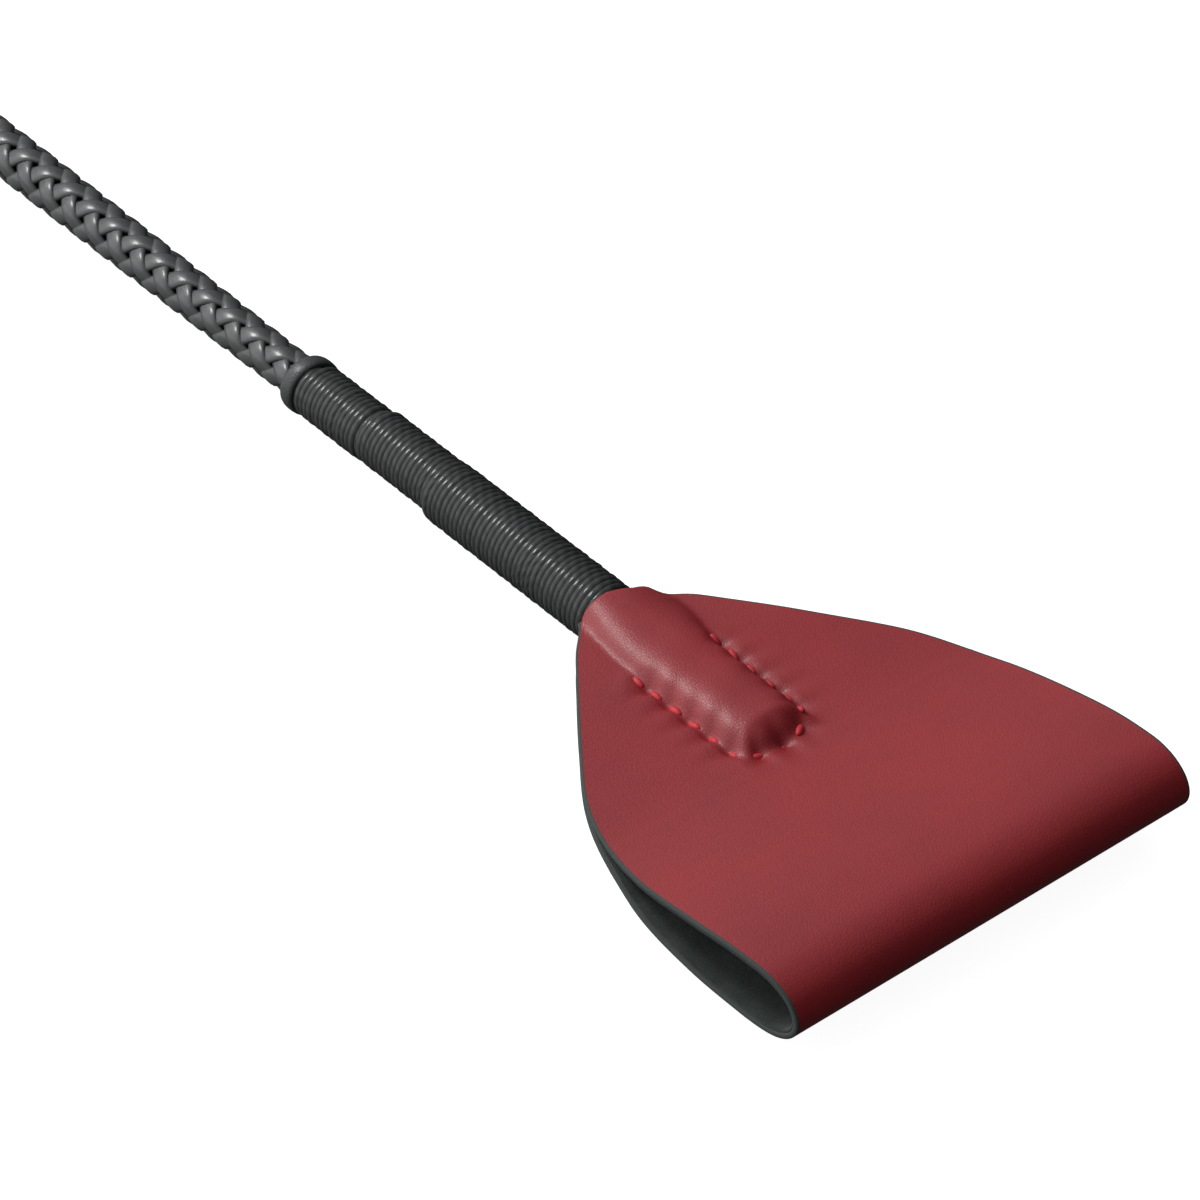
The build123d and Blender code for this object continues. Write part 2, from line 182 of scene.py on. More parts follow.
def leather(name, face, drift, edge, rough, grain_mm, grain_height, pore_height, coat=0.0, gleam=0.42):
    """Dyed leather: face and drift are its two dye tones, edge the cut edge's colour, gleam its shine."""
    material, tree, shader = new_material(name, Specular_IOR_Level=gleam, IOR=1.48, Coat_Weight=coat,
                                          Coat_Roughness=0.24)
    spot = node(tree, "ShaderNodeTexCoord").outputs["Object"]
    cloud = node(tree, "ShaderNodeTexNoise", {"Vector": spot, "Scale": per_mm(26), "Detail": 3.0,
                                              "Roughness": 0.55})
    tone = node(tree, "ShaderNodeMapRange", {"Value": cloud.outputs["Fac"], "From Min": 0.35,
                                             "From Max": 0.68})
    dyed = node(tree, "ShaderNodeMix", {"Factor": tone.outputs["Result"], "A": linear(face),
                                        "B": linear(drift)}, data_type="RGBA")
    cells = node(tree, "ShaderNodeTexVoronoi", {"Vector": spot, "Scale": per_mm(grain_mm), "Randomness": 0.9},
                 feature="DISTANCE_TO_EDGE")
    crease = node(tree, "ShaderNodeMapRange", {"Value": cells.outputs["Distance"], "From Max": 0.22})
    shaded = node(tree, "ShaderNodeMix", {"Factor": crease.outputs["Result"], "B": dyed.outputs["Result"]},
                  data_type="RGBA")
    deeper = node(tree, "ShaderNodeMix", {"Factor": 0.16, "A": dyed.outputs["Result"],
                                          "B": linear("#000000")}, data_type="RGBA")
    tree.links.new(deeper.outputs["Result"], shaded.inputs["A"])
    cut = node(tree, "ShaderNodeAttribute", attribute_name="cut")
    coloured = node(tree, "ShaderNodeMix", {"Factor": cut.outputs["Fac"], "A": shaded.outputs["Result"],
                                            "B": linear(edge)}, data_type="RGBA")
    tree.links.new(coloured.outputs["Result"], shader.inputs["Base Color"])
    pores = node(tree, "ShaderNodeTexNoise", {"Vector": spot, "Scale": per_mm(grain_mm * 0.45),
                                              "Detail": 2.0})
    gloss = node(tree, "ShaderNodeMapRange", {"Value": pores.outputs["Fac"], "To Min": rough - 0.07,
                                              "To Max": rough + 0.09})
    dull = node(tree, "ShaderNodeMix", {"Factor": cut.outputs["Fac"], 2: gloss.outputs["Result"], 3: 0.85})
    tree.links.new(dull.outputs[0], shader.inputs["Roughness"])
    grain = node(tree, "ShaderNodeBump", {"Height": crease.outputs["Result"], "Strength": 0.6,
                                          "Distance": grain_height * MM})
    pitted = node(tree, "ShaderNodeBump", {"Height": pores.outputs["Fac"], "Strength": 0.6,
                                           "Distance": pore_height * MM, "Normal": grain.outputs["Normal"]})
    tree.links.new(pitted.outputs["Normal"], shader.inputs["Normal"])
    return material


# Corrected-grain calf, dyed through and finished matt: a deep, even red whose cut edges are painted dark grey
RED_CALF = leather("red_calf_leather", "#7d1a20", "#74181e", "#2c3130", 0.44, 0.62, 0.035, 0.03, gleam=0.37)
# Waxed lace: near black with a cool cast, its high spots polished by plaiting; its darker edge colour is
# painted shade in the gaps between the laces
PLAIT_LACE = leather("waxed_plait_leather", "#1b2021", "#14181a", "#0f1213", 0.4, 0.5, 0.03, 0.05, coat=0.4)
# Rolled collar leather: smooth, and duller than the lace because it isn't waxed
COLLAR = leather("rolled_collar_leather", "#1a1e20", "#131618", "#0f1113", 0.5, 0.7, 0.06, 0.06, coat=0.1)
# Bridle leather for the strap: black, burnished, closed grain
STRAP_HIDE = leather("black_bridle_leather", "#1f2123", "#191a1c", "#0e0f10", 0.4, 0.8, 0.04, 0.03, coat=0.2)
# Pebbled hide for the grip: matt and deep-grained so that it holds in a glove
GRIP_HIDE = leather("pebbled_grip_leather", "#222425", "#1b1c1e", "#101112", 0.55, 1.5, 0.16, 0.05)
print("leathers:", [m.name for m in (RED_CALF, PLAIT_LACE, COLLAR, STRAP_HIDE, GRIP_HIDE)])

# %% [markdown]
# The keeper is lined with split hide, the fuzzy inner layer of a skin. Light catches its nap, so it reads
# as a soft dark grey and never as gloss: high roughness, sheen, and a fibrous noise at half a millimetre.

# %% Napped lining
NAPPED_SPLIT, tree, shader = new_material("black_split_suede", Roughness=0.95, Specular_IOR_Level=0.15,
                                          Sheen_Weight=0.35, Sheen_Roughness=0.6,
                                          Sheen_Tint=linear("#8a9492"))
spot = node(tree, "ShaderNodeTexCoord").outputs["Object"]
nap = node(tree, "ShaderNodeTexNoise", {"Vector": spot, "Scale": per_mm(0.5), "Detail": 5.0,
                                        "Roughness": 0.7})
brushed = node(tree, "ShaderNodeTexNoise", {"Vector": spot, "Scale": per_mm(7), "Detail": 2.0})
mix = node(tree, "ShaderNodeMath", {0: nap.outputs["Fac"], 1: brushed.outputs["Fac"]}, operation="MULTIPLY")
tone = node(tree, "ShaderNodeMapRange", {"Value": mix.outputs[0], "From Min": 0.12, "From Max": 0.4})
shade = node(tree, "ShaderNodeMix", {"Factor": tone.outputs["Result"], "A": linear("#131615"),
                                     "B": linear("#2c3130")}, data_type="RGBA")
tree.links.new(shade.outputs["Result"], shader.inputs["Base Color"])
bump = node(tree, "ShaderNodeBump", {"Height": nap.outputs["Fac"], "Strength": 0.9, "Distance": 0.15 * MM})
tree.links.new(bump.outputs["Normal"], shader.inputs["Normal"])

# %% [markdown]
# Winding cord is twisted from plies and dipped in wax. The plies follow the cord, not the object, so the
# pattern reads a `lay` attribute that the tube carries: distance along the cord and the turn round it.
# Slanted waves on those two numbers are the twist, with painted shade in the grooves between the plies and a
# painted highlight on their crowns.

# %% Waxed cord and thread


def twisted(name, dark, light, rough, coat, ply_mm, height):
    """Twisted thread: dark is painted shade in the grooves between the plies, light a painted highlight on
    them.
    """
    material, tree, shader = new_material(name, Specular_IOR_Level=0.2, Coat_Weight=coat, Coat_Roughness=0.14)
    lay = node(tree, "ShaderNodeAttribute", attribute_name="lay").outputs["Vector"]
    along = node(tree, "ShaderNodeSeparateXYZ", {"Vector": lay})
    run = node(tree, "ShaderNodeMath", {0: along.outputs["X"], 1: 1 / (ply_mm * MM)}, operation="MULTIPLY")
    slant = node(tree, "ShaderNodeMath", {0: run.outputs[0], 1: along.outputs["Y"]}, operation="ADD")
    turns = node(tree, "ShaderNodeMath", {0: slant.outputs[0], 1: 2 * math.pi}, operation="MULTIPLY")
    wave = node(tree, "ShaderNodeMath", {0: turns.outputs[0]}, operation="SINE")
    crown = node(tree, "ShaderNodeMapRange", {"Value": wave.outputs[0], "From Min": -1.0})
    spot = node(tree, "ShaderNodeTexCoord").outputs["Object"]
    fuzz = node(tree, "ShaderNodeTexNoise", {"Vector": spot, "Scale": per_mm(1.6), "Detail": 3.0})
    shade = node(tree, "ShaderNodeMix", {"Factor": crown.outputs["Result"], "A": linear(dark),
                                         "B": linear(light)}, data_type="RGBA")
    tree.links.new(shade.outputs["Result"], shader.inputs["Base Color"])
    gloss = node(tree, "ShaderNodeMapRange", {"Value": fuzz.outputs["Fac"], "To Min": rough - 0.12,
                                              "To Max": rough + 0.2})
    tree.links.new(gloss.outputs["Result"], shader.inputs["Roughness"])
    ridge = node(tree, "ShaderNodeBump", {"Height": crown.outputs["Result"], "Strength": 0.5,
                                          "Distance": height * MM})
    tree.links.new(ridge.outputs["Normal"], shader.inputs["Normal"])
    return material


# Linen thread dipped in black wax: a hard broken gloss along the top of every turn; its two tones are painted
# shade between the plies and a painted highlight on them
WAXED_CORD = twisted("black_waxed_cord", "#0a0d0d", "#161b1b", 0.5, 0.26, 1.9, 0.14)
# Bonded polyester sewing thread, dyed a little brighter than the hide it sews. A stitch is too short to show
# its plies, so it carries no lay and stays one colour.
RED_THREAD = twisted("red_sewing_thread", "#98222a", "#a82932", 0.5, 0.0, 1.6, 0.05)

# %% [markdown]
# The hard pieces keep their CAD shapes, so they only need a finish: satin nickel with fine turning lines
# for the cap, drawn steel for the pin, turned beech inside the grip, glass fibre in resin for the rod and
# moulded rubber for the tip.

# %% Hard finishes


def turned_finish(name, colour, rough, metallic, line_mm, line_height):
    """A surface with fine rings round the shaft, as a lathe or a die leaves, and a slightly smudged gloss."""
    material, tree, shader = new_material(name, Metallic=metallic, Base_Color=linear(colour))
    spot = node(tree, "ShaderNodeTexCoord").outputs["Object"]
    split = node(tree, "ShaderNodeSeparateXYZ", {"Vector": spot})
    along = node(tree, "ShaderNodeCombineXYZ", {"X": split.outputs["X"]})
    lines = node(tree, "ShaderNodeTexNoise", {"Vector": along.outputs["Vector"], "Scale": per_mm(line_mm),
                                              "Detail": 2.0})
    smudge = node(tree, "ShaderNodeTexNoise", {"Vector": spot, "Scale": per_mm(9), "Detail": 3.0})
    gloss = node(tree, "ShaderNodeMapRange", {"Value": smudge.outputs["Fac"], "To Min": rough - 0.08,
                                              "To Max": rough + 0.08})
    tree.links.new(gloss.outputs["Result"], shader.inputs["Roughness"])
    bump = node(tree, "ShaderNodeBump", {"Height": lines.outputs["Fac"], "Strength": 0.4,
                                         "Distance": line_height * MM})
    tree.links.new(bump.outputs["Normal"], shader.inputs["Normal"])
    return material


NICKEL = turned_finish("satin_nickel_plate", "#b9b4ab", 0.3, 1.0, 0.5, 0.02)
DRAWN_STEEL = turned_finish("drawn_steel", "#a5a6a8", 0.35, 1.0, 0.8, 0.01)
GLASS_FIBRE = turned_finish("black_glass_fibre", "#1a1c1c", 0.4, 0.0, 1.2, 0.02)
MOULDED_RUBBER = turned_finish("moulded_rubber", "#191919", 0.7, 0.0, 1.5, 0.03)
TURNED_BEECH = turned_finish("turned_beech", "#b98f62", 0.6, 0.0, 1.1, 0.05)
FINISHES = {
    "butt_cap": NICKEL,
    "loop_pin": DRAWN_STEEL,
    "core_rod": GLASS_FIBRE,
    "tip_cap": MOULDED_RUBBER,
    "handle_core": TURNED_BEECH,
    "loop_ends": STRAP_HIDE,
}
for name, finish in FINISHES.items():
    frame["nodes"][name].data.materials.clear()
    frame["nodes"][name].data.materials.append(finish)
print("CAD nodes with a new finish:", sorted(FINISHES))

# %% [markdown]
# ## Tools: meshes
# Three helpers make nearly every soft piece. `finished` turns points and faces into an object with its
# place in its mesh. `swept` carries a flat, rounded section along a line while it keeps its broad face to a
# given direction, as a lace lies on a rod. `lathed` spins a closed outline round the shaft.

# %% Mesh helpers


def finished(name, points, faces, material, attributes=None):
    """An object at the origin from points in millimetres, smooth-shaded, with point attributes."""
    mesh = bpy.data.meshes.new(name)
    mesh.from_pydata(place(points).tolist(), [], [tuple(f) for f in faces])
    mesh.update()
    mesh.shade_smooth()
    mesh.materials.append(material)
    for key, values in (attributes or {}).items():
        layer = mesh.attributes.new(key, "FLOAT", "POINT")
        layer.data.foreach_set("value", np.asarray(values, np.float32))
    made = bpy.data.objects.new(name, mesh)
    bpy.context.scene.collection.objects.link(made)
    print(f"{name}: {len(mesh.vertices)} points, {len(mesh.polygons)} faces")
    return made


def ring_faces(rows, columns, closed_rows=False, start=0):
    """Quads between consecutive rings of points."""
    faces = []
    for i in range(rows if closed_rows else rows - 1):
        below, above = start + i * columns, start + ((i + 1) % rows) * columns
        for j in range(columns):
            k = (j + 1) % columns
            faces.append((below + j, below + k, above + k, above + j))
    return faces


def unit(vectors):
    return vectors / np.linalg.norm(vectors, axis=-1, keepdims=True)


def swept(path, outward, width, height, sides, power, start=0):
    """Points, faces and each point's turn round the section, for a flat section carried along a path."""
    count = len(path)
    tangent = unit(np.gradient(path, axis=0))
    across = unit(np.cross(tangent, outward))
    outward = np.cross(across, tangent)
    angle = np.linspace(0, 2 * math.pi, sides, endpoint=False)
    broad = np.sign(np.cos(angle)) * np.abs(np.cos(angle)) ** (2 / power) * width / 2
    deep = np.sign(np.sin(angle)) * np.abs(np.sin(angle)) ** (2 / power) * height / 2
    points = path[:, None] + across[:, None] * broad[None, :, None] + outward[:, None] * deep[None, :, None]
    faces = [f[::-1] for f in ring_faces(count, sides, start=start)]
    faces.append(tuple(start + j for j in range(sides)))
    faces.append(tuple(start + (count - 1) * sides + j for j in reversed(range(sides))))
    return points.reshape(-1, 3), faces, np.tile(angle / (2 * math.pi), count)


def lathed(outline, segments, tilt=0.0, start=0):
    """Points and faces of a closed outline of (along, radius) spun round the shaft and leaned by tilt."""
    outline = np.asarray(outline, float)
    turn = np.linspace(0, 2 * math.pi, segments, endpoint=False)
    x = outline[None, :, 0] + tilt * outline[None, :, 1] * np.cos(turn)[:, None]
    y = outline[None, :, 1] * np.cos(turn)[:, None]
    z = outline[None, :, 1] * np.sin(turn)[:, None]
    points = np.stack([x, y, z], -1).reshape(-1, 3)
    return points, ring_faces(segments, len(outline), True, start)


def outwards(piece):
    """Turns every face of a closed piece outwards."""
    shell = bmesh.new()
    shell.from_mesh(piece.data)
    bmesh.ops.recalc_face_normals(shell, faces=shell.faces)
    shell.to_mesh(piece.data)
    shell.free()
    return piece


def through(stations, values):
    """A smooth function that passes through the given values."""
    stations, values = np.asarray(stations, float), np.asarray(values, float)
    slope = np.gradient(values, stations)

    def at(x):
        x = np.clip(x, stations[0], stations[-1])
        i = np.clip(np.searchsorted(stations, x) - 1, 0, len(stations) - 2)
        h = stations[i + 1] - stations[i]
        t = (x - stations[i]) / h
        return ((1 + 2 * t) * (1 - t) ** 2 * values[i] + t * (1 - t) ** 2 * h * slope[i]
                + t * t * (3 - 2 * t) * values[i + 1] + t * t * (t - 1) * h * slope[i + 1])

    return at


def ease(x, low, high):
    t = np.clip((x - low) / (high - low), 0, 1)
    return t * t * (3 - 2 * t)


# %% [markdown]
# ## The plaited shaft
# Eight laces are plaited round the rod, four each way, over one and under one. In that plait the lace that
# lies on top depends only on where it is round the rod, so columns of plump lozenges run along the shaft
# like ears of wheat. Each lace is a helix whose radius rises and falls four times a turn, and the laces
# that turn the other way do the opposite.

# %% Plait
LACES_EACH_WAY = 4
LEAD = 33.6  # millimetres of shaft for one turn of a lace
LACE_WIDTH = 4.2
LACE_THICK = 1.8
RISE = 0.38
LACE_STEP = 0.8  # millimetres of shaft between two sections of a lace
WHEAT_EAR = math.radians(152.5)  # the middle of a column whose laces climb towards the tip
START_TURN = {1: math.radians(142), -1: math.radians(163)}  # turns where x is 0, even about the ear
CORE_LOW, CORE_HIGH = 3.1, 4.25  # the plain end of the plait, hidden under the winding and in the pocket
CORE_END = 38
braid_radius = through([GRIP_FRONT, -150, RING_START], [4.8, 4.05, 3.5])


def lace_path(number, direction):
    """The middle line of one lace and the direction that its broad face looks."""
    x = np.arange(GRIP_FRONT - 6, RING_START + 3, LACE_STEP)
    turn = direction * 2 * math.pi * x / LEAD + 2 * math.pi * number / LACES_EACH_WAY + START_TURN[direction]
    lift = direction * np.cos(4 * (turn - WHEAT_EAR))
    radius = braid_radius(x) + RISE * lift
    out = np.stack([np.zeros_like(x), np.cos(turn), np.sin(turn)], -1)
    return np.stack([x, radius * out[:, 1], radius * out[:, 2]], -1), out


points, faces, turns = [], [], []
for direction in (1, -1):
    for number in range(LACES_EACH_WAY):
        path, out = lace_path(number, direction)
        made = swept(path, out, LACE_WIDTH, LACE_THICK, sides=12, power=2.1, start=sum(map(len, points)))
        points.append(made[0])
        faces += made[1]
        turns.append(made[2])
CORE_START = RING_START + 1
hidden = [(CORE_START, CORE_LOW), (CORE_START, CORE_HIGH), (CORE_END, CORE_HIGH), (CORE_END, CORE_LOW)]
under = lathed(hidden, 32, start=sum(map(len, points)))
points.append(under[0])
faces += under[1]
turns.append(np.zeros(len(under[0])))
# the laces' cut edges stay unpolished, and their darker colour is painted shade in the gaps between the laces
edges = 0.85 * np.abs(np.cos(2 * math.pi * np.concatenate(turns))) ** 4
plait = finished("plaited_cover", np.concatenate(points), faces, PLAIT_LACE, {"cut": edges})
outwards(plait)
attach(plait, "crop")
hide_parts("braided_cover")

# %% [markdown]
# ## Wound cord
# A winding is one long cord, so it is made as one: a line that climbs round the shaft by its own thickness
# at each turn, given its thickness by a small Geometry Nodes tree. The tree's inputs are the cord's radius
# and its material, and it stores the `lay` that the twist pattern reads. Wax fills the grooves between the
# turns, so the tube is drawn fatter than the cord and the turns run into one another.

# %% Geometry Nodes tree that gives a line its thickness


def tree_with(name, sockets):
    """An empty geometry tree with a geometry in and out and the given named inputs."""
    tree = bpy.data.node_groups.new(name, "GeometryNodeTree")
    tree.interface.new_socket("Geometry", in_out="INPUT", socket_type="NodeSocketGeometry")
    for label, kind, default in sockets:
        socket = tree.interface.new_socket(label, in_out="INPUT", socket_type=kind)
        if default is not None:
            socket.default_value = default
    tree.interface.new_socket("Geometry", in_out="OUTPUT", socket_type="NodeSocketGeometry")
    return tree, node(tree, "NodeGroupInput")


cord_tree, given = tree_with("cord_from_line", [("Cord radius", "NodeSocketFloat", 0.7 * MM),
                                                ("Material", "NodeSocketMaterial", None)])
line = node(cord_tree, "GeometryNodeMeshToCurve", {0: given.outputs["Geometry"]})
round_section = node(cord_tree, "GeometryNodeCurvePrimitiveCircle", {"Resolution": 8,
                                                                      "Radius": given.outputs["Cord radius"]})
along = node(cord_tree, "GeometryNodeSplineParameter").outputs["Length"]
around = node(cord_tree, "GeometryNodeSplineParameter").outputs["Factor"]
line_kept = node(cord_tree, "GeometryNodeCaptureAttribute", {"Geometry": line.outputs[0]})
line_kept.capture_items.new("FLOAT", "along")
cord_tree.links.new(along, line_kept.inputs["along"])
section_kept = node(cord_tree, "GeometryNodeCaptureAttribute", {"Geometry": round_section.outputs[0]})
section_kept.capture_items.new("FLOAT", "around")
cord_tree.links.new(around, section_kept.inputs["around"])
tube = node(cord_tree, "GeometryNodeCurveToMesh", {0: line_kept.outputs["Geometry"],
                                                   1: section_kept.outputs["Geometry"], "Fill Caps": True})
lay = node(cord_tree, "ShaderNodeCombineXYZ", {"X": line_kept.outputs["along"],
                                               "Y": section_kept.outputs["around"]})
stored = node(cord_tree, "GeometryNodeStoreNamedAttribute", {"Geometry": tube.outputs[0], "Name": "lay",
                                                             "Value": lay.outputs[0]},
              data_type="FLOAT_VECTOR", domain="POINT")
smooth = node(cord_tree, "GeometryNodeSetShadeSmooth", {0: stored.outputs[0]})
real = node(cord_tree, "GeometryNodeRealizeInstances", {0: smooth.outputs[0]})
coated = node(cord_tree, "GeometryNodeSetMaterial", {0: real.outputs[0],
                                                     "Material": given.outputs["Material"]})
node(cord_tree, "NodeGroupOutput", {"Geometry": coated.outputs[0]})


def grown(name, points, edges, tree, inputs):
    """Runs a geometry tree on a line or points and keeps the result as a plain mesh."""
    mesh = bpy.data.meshes.new(name + "_line")
    mesh.from_pydata(place(points).tolist(), edges, [])
    seed = bpy.data.objects.new(name + "_line", mesh)
    bpy.context.scene.collection.objects.link(seed)
    modifier = seed.modifiers.new("grow", "NODES")
    modifier.node_group = tree
    for item in tree.interface.items_tree:
        if item.in_out == "INPUT" and item.name in inputs:
            modifier[item.identifier] = inputs[item.name]
    graph = bpy.context.evaluated_depsgraph_get()
    result = bpy.data.meshes.new_from_object(seed.evaluated_get(graph), depsgraph=graph)
    bpy.data.objects.remove(seed)
    result.name = name
    made = bpy.data.objects.new(name, result)
    bpy.context.scene.collection.objects.link(made)
    print(f"{name}: {len(result.vertices)} points, {len(result.polygons)} faces")
    return made


def chain(count):
    return [(i, i + 1) for i in range(count - 1)]


# %% [markdown]
# The tip winding climbs over what lies beneath it. Near the ring there is only the plait; then the upper
# tail of the keeper lifts its upper side, and nearer the keeper the thicker lower tail lifts its lower
# side. Two eased steps say so. No hand winds perfectly, so the turns waver by a few hundredths.

# %% Windings
CORD = 1.4
DRAWN_RADIUS = CORD * 1.1
SUNK = CORD * 0.13  # the drawn tube's middle line lies this far below the surface it is wound on
TUCK = 1.8  # how deep each end of the cord is tucked in
TUCK_TURNS = 0.35
TURN_POINTS = 44


def winding(name, start, end, surface, node_name):
    """One cord wound from start to end; surface(x) gives the radius under it and that circle's height."""
    turns = (end - start - CORD) / CORD
    turn = np.linspace(0, turns, int(turns * TURN_POINTS))
    x = start + CORD / 2 + turn * CORD + 0.07 * np.sin(turn * 0.9) + 0.05 * np.sin(turn * 2.7 + 1)
    radius, off = surface(x)
    tuck = TUCK * (1 - ease(turn, 0, TUCK_TURNS)) + TUCK * ease(turn, turns - TUCK_TURNS, turns)
    radius = radius - SUNK + 0.05 * np.sin(turn * 1.7) * np.sin(turn * 6.28 + 0.5) - tuck
    angle = turn * 2 * math.pi
    path = np.stack([x, radius * np.cos(angle), off + radius * np.sin(angle)], -1)
    made = grown(name, path, chain(len(path)), cord_tree, {"Cord radius": DRAWN_RADIUS * MM,
                                                           "Material": WAXED_CORD})
    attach(made, "crop")
    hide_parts(node_name)


BOUND_PLAIT = 4.32  # the plait's radius where the cord is wound on it
UPPER_TAIL, LOWER_TAIL = 1.1, 1.25  # how far each tail of the keeper lifts the cord
TUCKED_END = 0.42  # the cord's own end lies under the first turns
MOUTH_DIP = 0.9  # the last turns sink so that the leather's mouth covers them
UNDER_MOUTH = 2.9  # and they run on this far past the neck
GRIP_RADIUS = 10.1


def over_the_tails(x):
    """Under the tip winding: the plait, then the upper tail from -72, then the lower tail from -50."""
    upper = UPPER_TAIL * ease(x, -73, -71) + 0.12 * np.exp(-((x + 70.5) / 1.5) ** 2)
    lower = LOWER_TAIL * ease(x, -51, -49)
    packing = -MOUTH_DIP * ease(x, -0.9, 0.9) + TUCKED_END * (1 - ease(x, -75, -72))
    return BOUND_PLAIT + packing + (upper + lower) / 2, (upper - lower) / 2


winding("tip_winding", WINDING_START - 0.5, UNDER_MOUTH, over_the_tails, "tip_binding")
winding("rear_grip_winding", REAR_WINDING_START, REAR_WINDING_END, lambda x: (x * 0 + GRIP_RADIUS, 0),
        "rear_binding")
cone = through([FRONT_WINDING_START, SHOULDER - 1, SHOULDER + 1, GRIP_FRONT],
               [GRIP_RADIUS, GRIP_RADIUS, 9.9, 6.5])
winding("front_grip_winding", FRONT_WINDING_START, GRIP_FRONT, lambda x: (cone(x), 0), "front_binding")

# %% [markdown]
# ## Collars
# A rolled ring of leather hides each end of a winding. It is a lathe job: a soft round outline spun round
# the shaft, leaning a few degrees because it was pushed on by hand.

# %% Collars


def collar(name, node_name, start, inner, outer, width, lean):
    """A rolled leather ring, thick in the middle and tucked in at both sides."""
    turn = np.linspace(-math.pi / 2, 1.5 * math.pi, 22, endpoint=False)
    mid, deep = (inner + outer) / 2, (outer - inner) / 2
    outline = [(start + width / 2 + width / 2 * np.sign(np.sin(a)) * abs(np.sin(a)) ** 0.75,
                mid + deep * np.sign(np.cos(a)) * abs(np.cos(a)) ** 0.6) for a in turn]
    made = finished(name, *lathed(outline, 72, lean), COLLAR)
    outwards(made)
    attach(made, "crop")
    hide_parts(node_name)


collar("tip_collar", "tip_ring", start=RING_START + 2.0, inner=4.0, outer=6.45, width=4.0, lean=0.07)
collar("grip_collar", "grip_ring", start=GRIP_FRONT - 0.3, inner=5.6, outer=8.3, width=6.0, lean=0.04)

# %% [markdown]
# ## The keeper
# One strip of calf leather starts at the neck, lies over the shaft's tip, rolls round in an open fold and
# comes back underneath. It is made as a grid: rows follow the strip from neck to fold to neck, columns run
# across it. The outer face is drawn first; the inner face lies one thickness behind it along the normals.

# %% Outline and side view of the keeper
KEEPER_HIDE = 1.1
KEEPER_LINING = 0.65
FOLD_CENTRE = (98.5, 2.0)  # along the shaft and above its axis
FOLD_LONG = 10.2
FOLD_HIGH = 7.1
half_width = through([-2, 0, 3, 6, 14, 26, 42, 61, 80, 97, 110],
                     [5.5, 7.2, 9.7, 12.7, 19.2, 28.4, 39.6, 45.9, 47.7, 47.8, 47.5])
SIDE_STATIONS = [-2, 0, 20, 40, 54, 66, 80, 92, 98, FOLD_CENTRE[0]]
upper_side = through(SIDE_STATIONS, [2.6, 2.7, 2.9, 2.4, 2.8, 4.5, 6.9, 8.7, 9.07, 9.1])
lower_side = through(SIDE_STATIONS, [-2.4, -2.5, -2.7, -1.4, -2.4, -4.5, -5.6, -5.5, -5.2, -5.1])

# %% [markdown]
# The shaft's tip makes a bulge with a blunt end. A stitched seam runs down both sides and across the end,
# and pulls the two leaves together, so the leather dips along the seam, dimples at each stitch and puckers
# between them.

# %% Bulge, seam and puckers
STITCH = 5.7  # from one stitch to the next
MOUTH = 0.7  # where the leather starts
BULGE_END = 51.4
BULGE_END_SLOPE = 5.2
CORNERS = [(21, -10.2), (34, -9.7), (48.4, -9.2), (50.7, -6.6), (51.7, -1.5), (50.6, 4), (47.5, 7.3),
           (42, 8.5), (21, 8.9)]
SEAM = list(zip(CORNERS, CORNERS[1:]))


def along_seam(x, y):
    """Distance to the seam and how far along it the nearest point is."""
    best = np.full(np.shape(x), 1e9)
    travel = np.zeros(np.shape(x))
    done = 0.0
    for (ax, ay), (bx, by) in SEAM:
        length = math.hypot(bx - ax, by - ay)
        t = np.clip(((x - ax) * (bx - ax) + (y - ay) * (by - ay)) / length**2, 0, 1)
        away = np.hypot(x - ax - t * (bx - ax), y - ay - t * (by - ay))
        travel = np.where(away < best, done + t * length, travel)
        best = np.minimum(best, away)
        done += length
    return best, travel


def bulge(x, y):
    """How much of the way up to the shaft's top the leather stands, from 0 to 1."""
    reach = 8.7 - 1.6 * (1 - ease(x, -2, 14))
    # near the neck the side towards +Y comes down more gently
    spread = 2.6 * (1 - ease(x, 8, 24)) * np.clip(y / 4, 0, 1)
    across = 1 - np.abs((y + 0.5 * ease(x, 4, 20)) / (reach + spread)) ** (2.9 - 0.25 * spread)
    across = np.clip(across, 0, None) ** (0.62 + 0.1 * spread)
    blunt_end = np.clip((BULGE_END - x) / BULGE_END_SLOPE, 0, 1) ** 0.75
    return across * blunt_end


def leaf_height(x, y, side):
    """The outer face of the upper (side 1) or lower (side -1) leaf, above the axis."""
    flat = upper_side(x) if side > 0 else lower_side(x)
    crown = 6.35 + 0.4 * (1 - ease(x, 1, 9)) + 0.12 * np.sin(x / 3.1) * np.sin(x / 7.3 + y / 5)
    height = flat + (side * crown - flat) * bulge(x, y)
    away, travel = along_seam(x, y)
    wave = 2 * math.pi * travel / STITCH
    pull = 0.45 * np.exp(-((away / 1.4) ** 2))
    dimple = 1.1 * np.exp(-((away / 1.25) ** 2)) * (0.5 - 0.5 * np.cos(wave)) ** 4
    pucker = 0.26 * np.cos(wave + 0.5) * np.exp(-(((away - 2.0) / 1.5) ** 2))
    swell = 0.25 * np.sin(x / 19 + 0.6) * np.sin(y / 17 + 0.9) * ease(x, 52, 80) * (1 - ease(x, 88, 100))
    return height + side * (pucker - pull - dimple) + swell


beside = leaf_height(np.array([30.0]), np.array([20.0]), 1)[0]
print(f"leaf height beside the bulge: {beside:.2f} mm")

# %% Grid of the strip's outer face
FINE_HALF = 11.5  # the columns lie closely this far to each side of the shaft
EDGE_PAINT = 0.45  # the painted edge laps this far onto the face
MOUTH_SLANT = 1.7  # the mouth lies a little crooked on the shaft
SMOOTHINGS = 3


